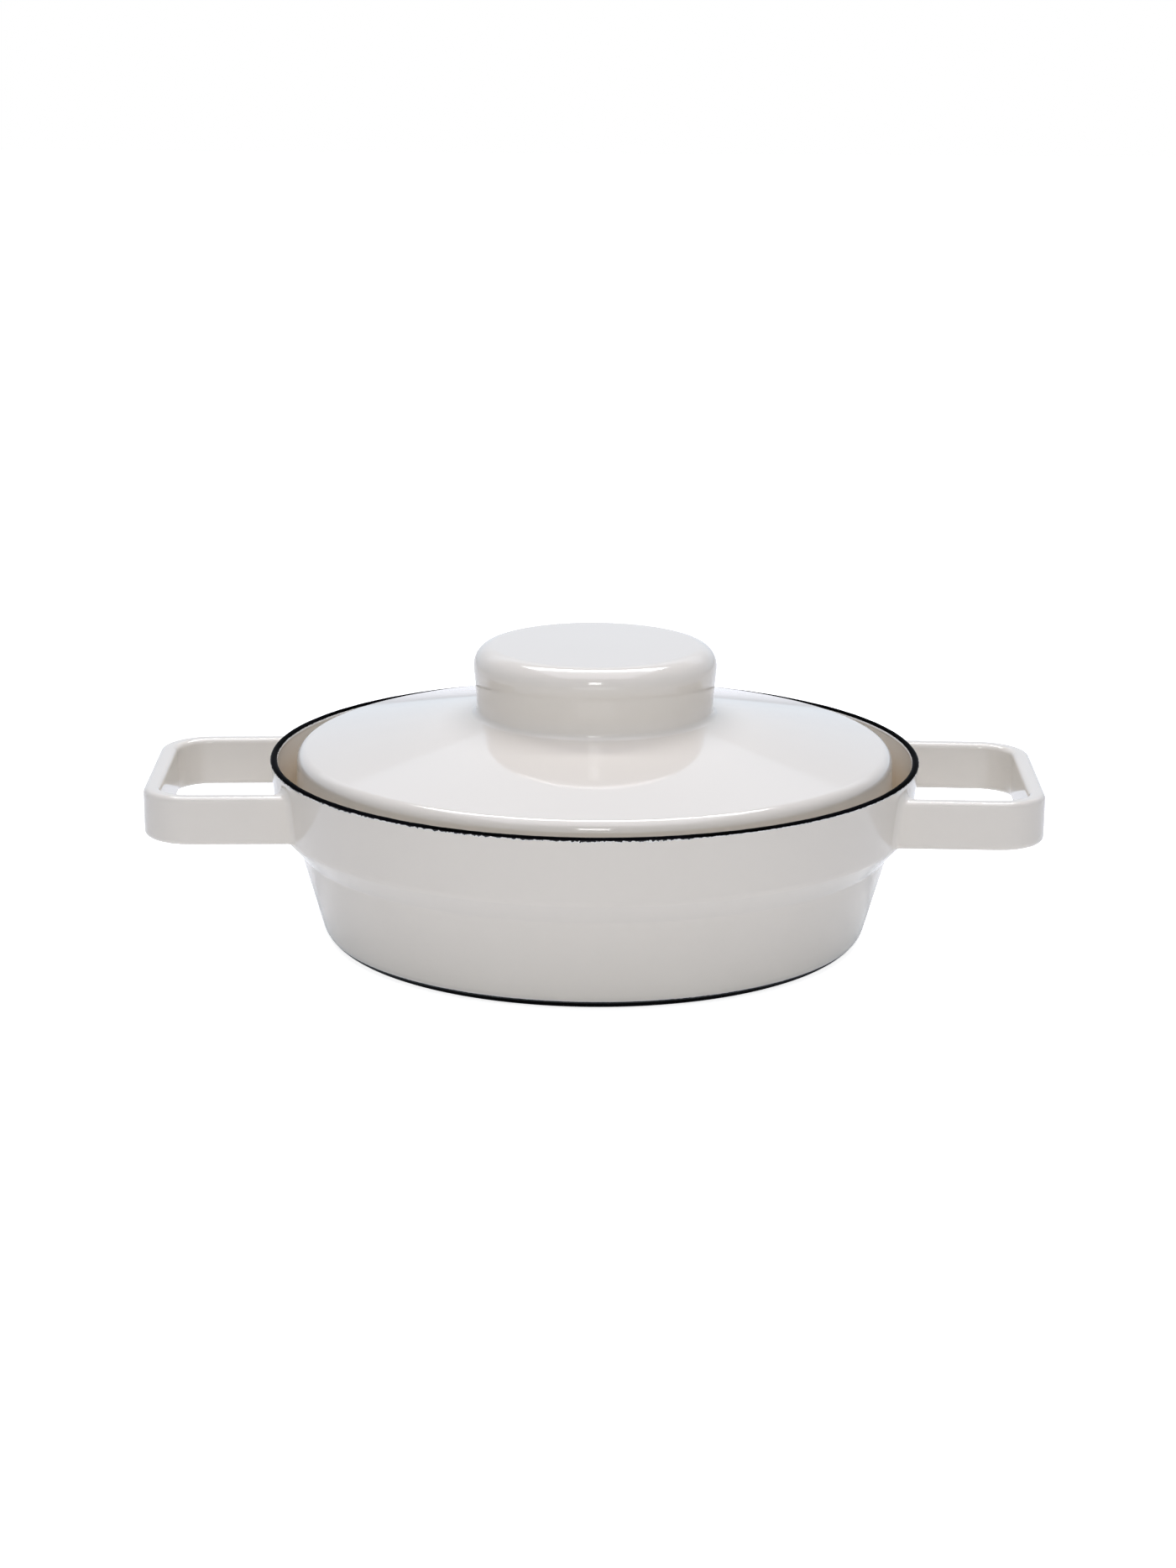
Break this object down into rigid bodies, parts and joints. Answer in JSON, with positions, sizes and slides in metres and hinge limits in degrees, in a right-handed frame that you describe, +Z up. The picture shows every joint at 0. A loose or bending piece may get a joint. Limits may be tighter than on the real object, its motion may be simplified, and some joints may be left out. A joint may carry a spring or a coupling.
{
  "type": "covered casserole dish",
  "caption": "Low round enamelled steel casserole with a stepped wall, flat loop side handles and a lift-off conical lid with a wide cup-shaped knob.",
  "frame": {"origin": "centre of the underside, on the plane the dish stands on", "axes": "+Z up, +X out through the right handle, -Y the front"},
  "size_m": [0.3012, 0.22, 0.1007],
  "materials": {
    "cream_enamel": "gloss porcelain enamel on sheet steel, warm white",
    "black_enamel": "black ground-coat enamel"
  },
  "bodies": {
    "pot": {"pot_shell": "cream_enamel", "pot_rim_edge": "black_enamel", "base_coat": "black_enamel", "left_handle": "cream_enamel", "right_handle": "cream_enamel", "left_handle_welds": "cream_enamel", "right_handle_welds": "cream_enamel"},
    "lid": {"lid_shell": "cream_enamel", "lid_rim_edge": "black_enamel", "knob_shell": "cream_enamel", "knob_weld": "cream_enamel"}
  },
  "joints": [
    {"name": "lid_lift", "type": "slide", "parent": "pot", "child": "lid", "axis": [0, 0, 1], "range_m": [0, 0.12]}
  ]
}
